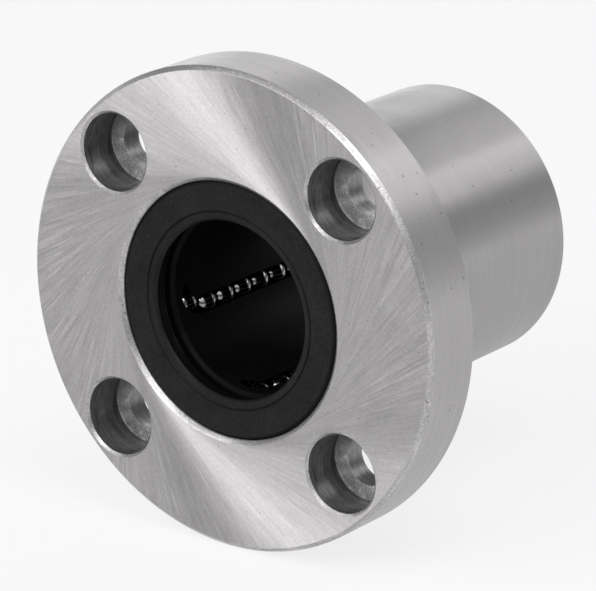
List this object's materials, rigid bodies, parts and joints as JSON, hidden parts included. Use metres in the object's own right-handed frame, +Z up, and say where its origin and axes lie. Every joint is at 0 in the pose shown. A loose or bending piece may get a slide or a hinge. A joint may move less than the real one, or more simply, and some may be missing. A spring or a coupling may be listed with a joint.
{
  "type": "flanged linear ball bearing",
  "caption": "Round-flange linear ball bearing: steel sleeve with counterbored flange, black end seals and recirculating ball rows round a shaft bore.",
  "frame": {"origin": "on the shaft axis, in the flange's mounting face, at the centre of the flange screws' circle", "axes": "+Y along the shaft axis from the flange towards the barrel's end, so the counterbored front face looks towards -Y; +Z up, with two flange screws above and two below; +X to the right seen from the front"},
  "size_m": [0.054, 0.042, 0.054],
  "materials": {
    "sleeve_steel": "ground bearing steel",
    "cage_resin": "black moulded resin",
    "seal_rubber": "black moulded rubber",
    "plate_steel": "stamped spring steel",
    "ball_steel": "polished bearing balls"
  },
  "bodies": {
    "bearing_body": {"outer_sleeve": "sleeve_steel", "ball_retainer": "cage_resin", "front_seal": "seal_rubber", "rear_seal": "seal_rubber", "front_seal_core": "plate_steel", "rear_seal_core": "plate_steel", "front_retaining_ring": "plate_steel", "rear_retaining_ring": "plate_steel"},
    "balls_1_loaded": {"balls_1_loaded": "ball_steel"},
    "balls_1_return": {"balls_1_return": "ball_steel"},
    "balls_1_front_turn": {"balls_1_front_turn": "ball_steel"},
    "balls_1_rear_turn": {"balls_1_rear_turn": "ball_steel"},
    "balls_2_loaded": {"balls_2_loaded": "ball_steel"},
    "balls_2_return": {"balls_2_return": "ball_steel"},
    "balls_2_front_turn": {"balls_2_front_turn": "ball_steel"},
    "balls_2_rear_turn": {"balls_2_rear_turn": "ball_steel"},
    "balls_3_loaded": {"balls_3_loaded": "ball_steel"},
    "balls_3_return": {"balls_3_return": "ball_steel"},
    "balls_3_front_turn": {"balls_3_front_turn": "ball_steel"},
    "balls_3_rear_turn": {"balls_3_rear_turn": "ball_steel"},
    "balls_4_loaded": {"balls_4_loaded": "ball_steel"},
    "balls_4_return": {"balls_4_return": "ball_steel"},
    "balls_4_front_turn": {"balls_4_front_turn": "ball_steel"},
    "balls_4_rear_turn": {"balls_4_rear_turn": "ball_steel"},
    "balls_5_loaded": {"balls_5_loaded": "ball_steel"},
    "balls_5_return": {"balls_5_return": "ball_steel"},
    "balls_5_front_turn": {"balls_5_front_turn": "ball_steel"},
    "balls_5_rear_turn": {"balls_5_rear_turn": "ball_steel"}
  },
  "joints": [
    {"name": "circuit_1_loaded_travel", "type": "slide", "parent": "bearing_body", "child": "balls_1_loaded", "axis": [0, 1, 0], "range_m": [-0.0016, 0.0016]},
    {"name": "circuit_1_return_travel", "type": "slide", "parent": "bearing_body", "child": "balls_1_return", "axis": [0, 1, 0], "range_m": [-0.0016, 0.0016]},
    {"name": "circuit_1_front_turn", "type": "hinge", "parent": "bearing_body", "child": "balls_1_front_turn", "pos_m": [-0.00226, 0.0002, -0.01159], "axis": [0, 0, -1], "range_deg": [-45, 45]},
    {"name": "circuit_1_rear_turn", "type": "hinge", "parent": "bearing_body", "child": "balls_1_rear_turn", "pos_m": [-0.00226, 0.0258, -0.01159], "axis": [0, 0, -1], "range_deg": [-45, 45]},
    {"name": "circuit_2_loaded_travel", "type": "slide", "parent": "bearing_body", "child": "balls_2_loaded", "axis": [0, 1, 0], "range_m": [-0.0016, 0.0016]},
    {"name": "circuit_2_return_travel", "type": "slide", "parent": "bearing_body", "child": "balls_2_return", "axis": [0, 1, 0], "range_m": [-0.0016, 0.0016]},
    {"name": "circuit_2_front_turn", "type": "hinge", "parent": "bearing_body", "child": "balls_2_front_turn", "pos_m": [0.01032, 0.0002, -0.00573], "axis": [0.9511, 0, -0.309], "range_deg": [-45, 45]},
    {"name": "circuit_2_rear_turn", "type": "hinge", "parent": "bearing_body", "child": "balls_2_rear_turn", "pos_m": [0.01032, 0.0258, -0.00573], "axis": [0.9511, 0, -0.309], "range_deg": [-45, 45]},
    {"name": "circuit_3_loaded_travel", "type": "slide", "parent": "bearing_body", "child": "balls_3_loaded", "axis": [0, 1, 0], "range_m": [-0.0016, 0.0016]},
    {"name": "circuit_3_return_travel", "type": "slide", "parent": "bearing_body", "child": "balls_3_return", "axis": [0, 1, 0], "range_m": [-0.0016, 0.0016]},
    {"name": "circuit_3_front_turn", "type": "hinge", "parent": "bearing_body", "child": "balls_3_front_turn", "pos_m": [0.00864, 0.0002, 0.00804], "axis": [0.5878, 0, 0.809], "range_deg": [-45, 45]},
    {"name": "circuit_3_rear_turn", "type": "hinge", "parent": "bearing_body", "child": "balls_3_rear_turn", "pos_m": [0.00864, 0.0258, 0.00804], "axis": [0.5878, 0, 0.809], "range_deg": [-45, 45]},
    {"name": "circuit_4_loaded_travel", "type": "slide", "parent": "bearing_body", "child": "balls_4_loaded", "axis": [0, 1, 0], "range_m": [-0.0016, 0.0016]},
    {"name": "circuit_4_return_travel", "type": "slide", "parent": "bearing_body", "child": "balls_4_return", "axis": [0, 1, 0], "range_m": [-0.0016, 0.0016]},
    {"name": "circuit_4_front_turn", "type": "hinge", "parent": "bearing_body", "child": "balls_4_front_turn", "pos_m": [-0.00498, 0.0002, 0.0107], "axis": [-0.5878, 0, 0.809], "range_deg": [-45, 45]},
    {"name": "circuit_4_rear_turn", "type": "hinge", "parent": "bearing_body", "child": "balls_4_rear_turn", "pos_m": [-0.00498, 0.0258, 0.0107], "axis": [-0.5878, 0, 0.809], "range_deg": [-45, 45]},
    {"name": "circuit_5_loaded_travel", "type": "slide", "parent": "bearing_body", "child": "balls_5_loaded", "axis": [0, 1, 0], "range_m": [-0.0016, 0.0016]},
    {"name": "circuit_5_return_travel", "type": "slide", "parent": "bearing_body", "child": "balls_5_return", "axis": [0, 1, 0], "range_m": [-0.0016, 0.0016]},
    {"name": "circuit_5_front_turn", "type": "hinge", "parent": "bearing_body", "child": "balls_5_front_turn", "pos_m": [-0.01172, 0.0002, -0.00143], "axis": [-0.9511, 0, -0.309], "range_deg": [-45, 45]},
    {"name": "circuit_5_rear_turn", "type": "hinge", "parent": "bearing_body", "child": "balls_5_rear_turn", "pos_m": [-0.01172, 0.0258, -0.00143], "axis": [-0.9511, 0, -0.309], "range_deg": [-45, 45]}
  ],
  "couplings": [
    {"joint": "circuit_1_return_travel", "follows": "circuit_1_loaded_travel", "ratio": -1},
    {"joint": "circuit_1_front_turn", "follows": "circuit_1_loaded_travel", "rad_per_m": -490.87},
    {"joint": "circuit_1_rear_turn", "follows": "circuit_1_loaded_travel", "rad_per_m": -490.87},
    {"joint": "circuit_2_return_travel", "follows": "circuit_2_loaded_travel", "ratio": -1},
    {"joint": "circuit_2_front_turn", "follows": "circuit_2_loaded_travel", "rad_per_m": -490.87},
    {"joint": "circuit_2_rear_turn", "follows": "circuit_2_loaded_travel", "rad_per_m": -490.87},
    {"joint": "circuit_3_return_travel", "follows": "circuit_3_loaded_travel", "ratio": -1},
    {"joint": "circuit_3_front_turn", "follows": "circuit_3_loaded_travel", "rad_per_m": -490.87},
    {"joint": "circuit_3_rear_turn", "follows": "circuit_3_loaded_travel", "rad_per_m": -490.87},
    {"joint": "circuit_4_return_travel", "follows": "circuit_4_loaded_travel", "ratio": -1},
    {"joint": "circuit_4_front_turn", "follows": "circuit_4_loaded_travel", "rad_per_m": -490.87},
    {"joint": "circuit_4_rear_turn", "follows": "circuit_4_loaded_travel", "rad_per_m": -490.87},
    {"joint": "circuit_5_return_travel", "follows": "circuit_5_loaded_travel", "ratio": -1},
    {"joint": "circuit_5_front_turn", "follows": "circuit_5_loaded_travel", "rad_per_m": -490.87},
    {"joint": "circuit_5_rear_turn", "follows": "circuit_5_loaded_travel", "rad_per_m": -490.87}
  ]
}
